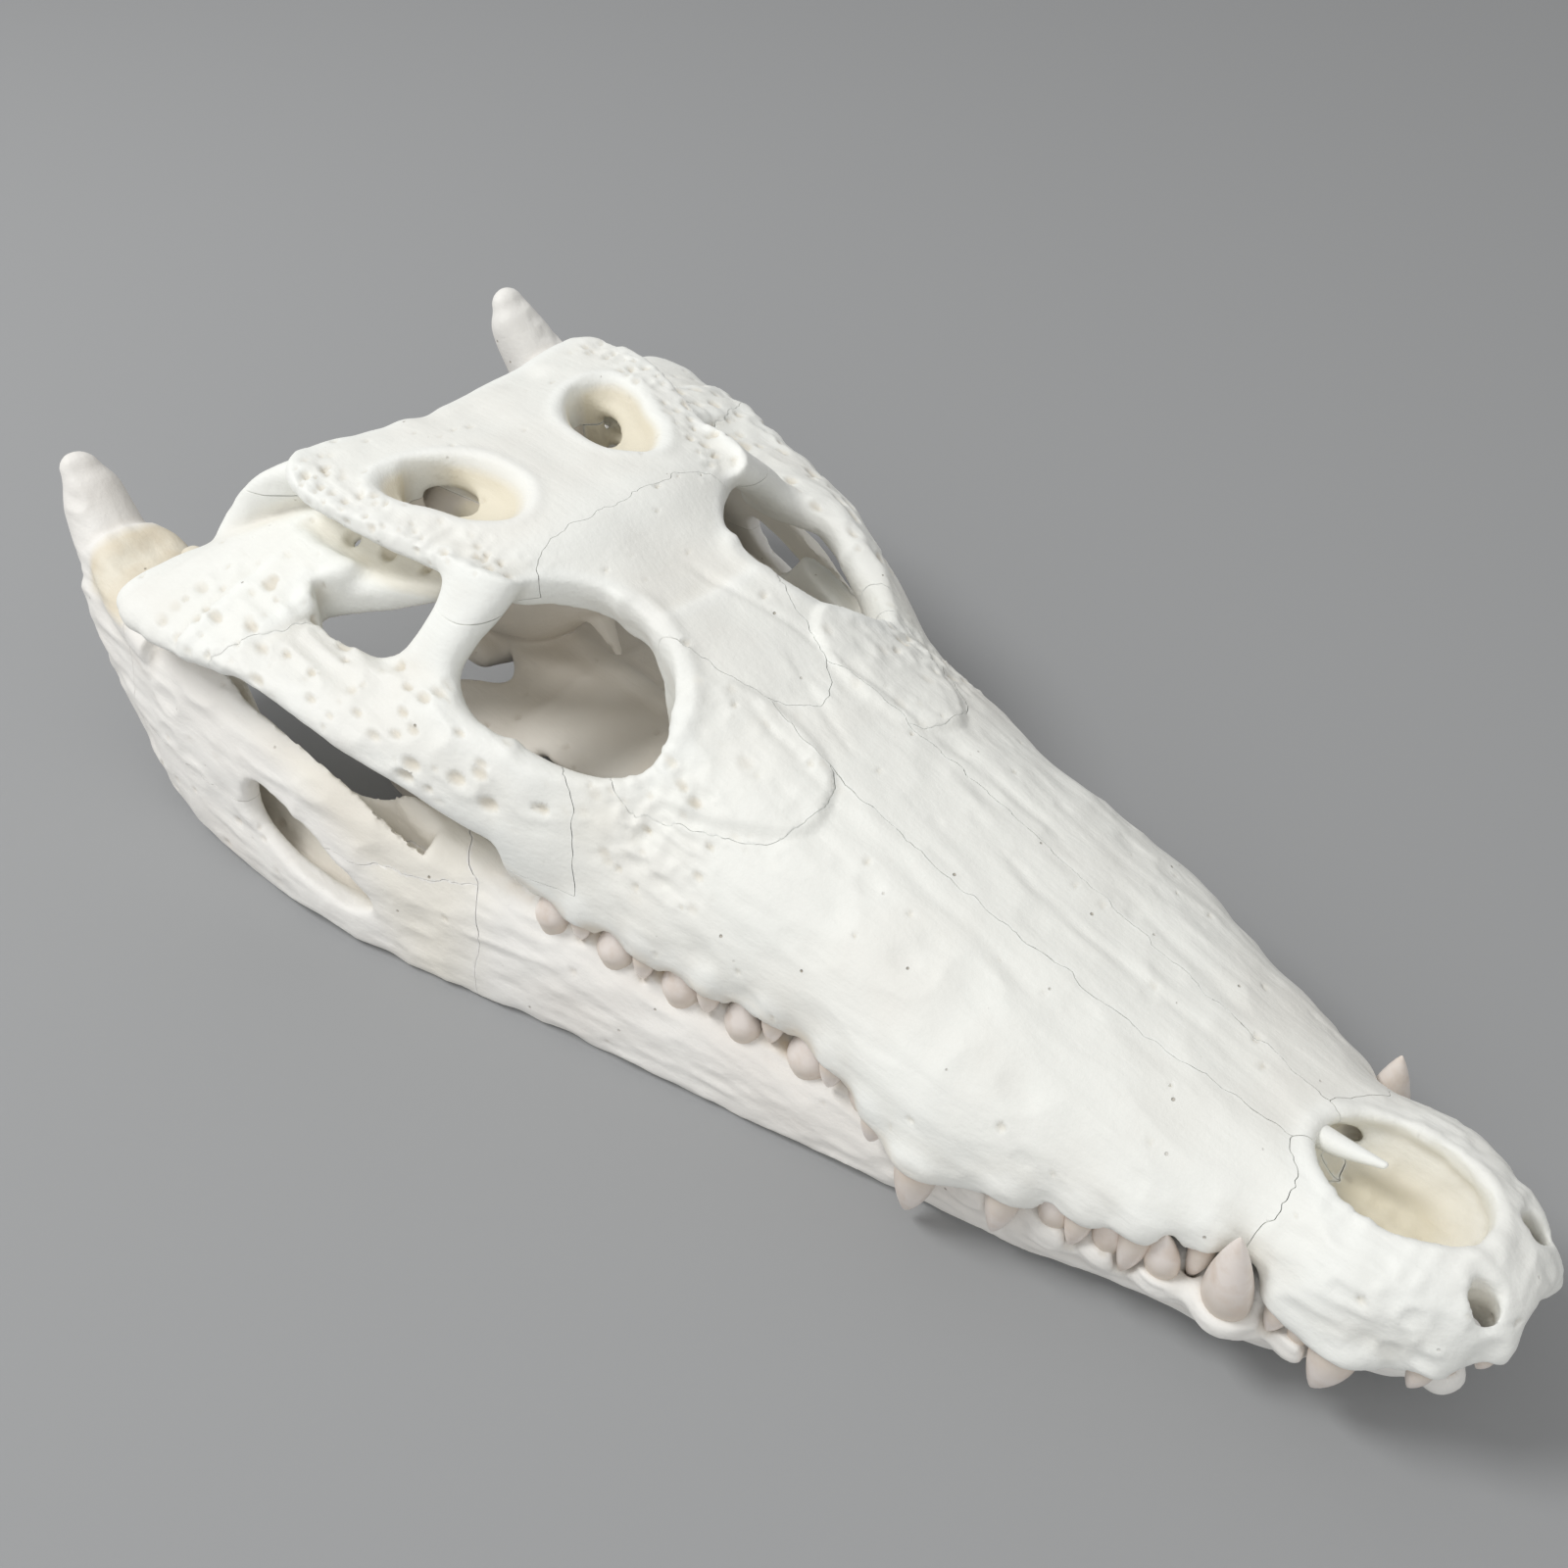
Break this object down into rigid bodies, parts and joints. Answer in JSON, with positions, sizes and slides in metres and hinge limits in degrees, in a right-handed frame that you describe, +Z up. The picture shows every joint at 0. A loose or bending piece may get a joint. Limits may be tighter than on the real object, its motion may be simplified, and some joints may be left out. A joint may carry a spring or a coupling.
{
  "type": "crocodile skull",
  "caption": "Cleaned crocodile skull with its lower jaw closed: long tapering snout, open orbits and temple holes, interlocking conical teeth.",
  "frame": {"origin": "centre of the skull's bounding box, at the level of the flats that the lower jaw rests on", "axes": "+X towards the tip of the snout, +Y to the animal's left, +Z up"},
  "size_m": [0.3772, 0.183, 0.0917],
  "materials": {
    "bone": "dry bleached bone",
    "inner_bone": "dry bone, greyer inside",
    "jaw_bone": "dry bleached bone"
  },
  "bodies": {
    "root": {"premaxilla": "bone", "nasals": "bone", "frontal": "bone", "skull_table": "bone", "prefrontal_left": "bone", "prefrontal_right": "bone", "quadrate_left": "bone", "quadrate_right": "bone", "jugal_left": "bone", "jugal_right": "bone", "maxilla_left": "bone", "maxilla_right": "bone", "palate": "inner_bone", "braincase": "inner_bone", "ectopterygoid_left": "inner_bone", "ectopterygoid_right": "inner_bone", "dentary_left": "jaw_bone", "dentary_right": "jaw_bone", "articular_left": "jaw_bone", "articular_right": "jaw_bone", "surangular_left": "jaw_bone", "surangular_right": "jaw_bone", "angular_left": "jaw_bone", "angular_right": "jaw_bone"}
  },
  "joints": []
}
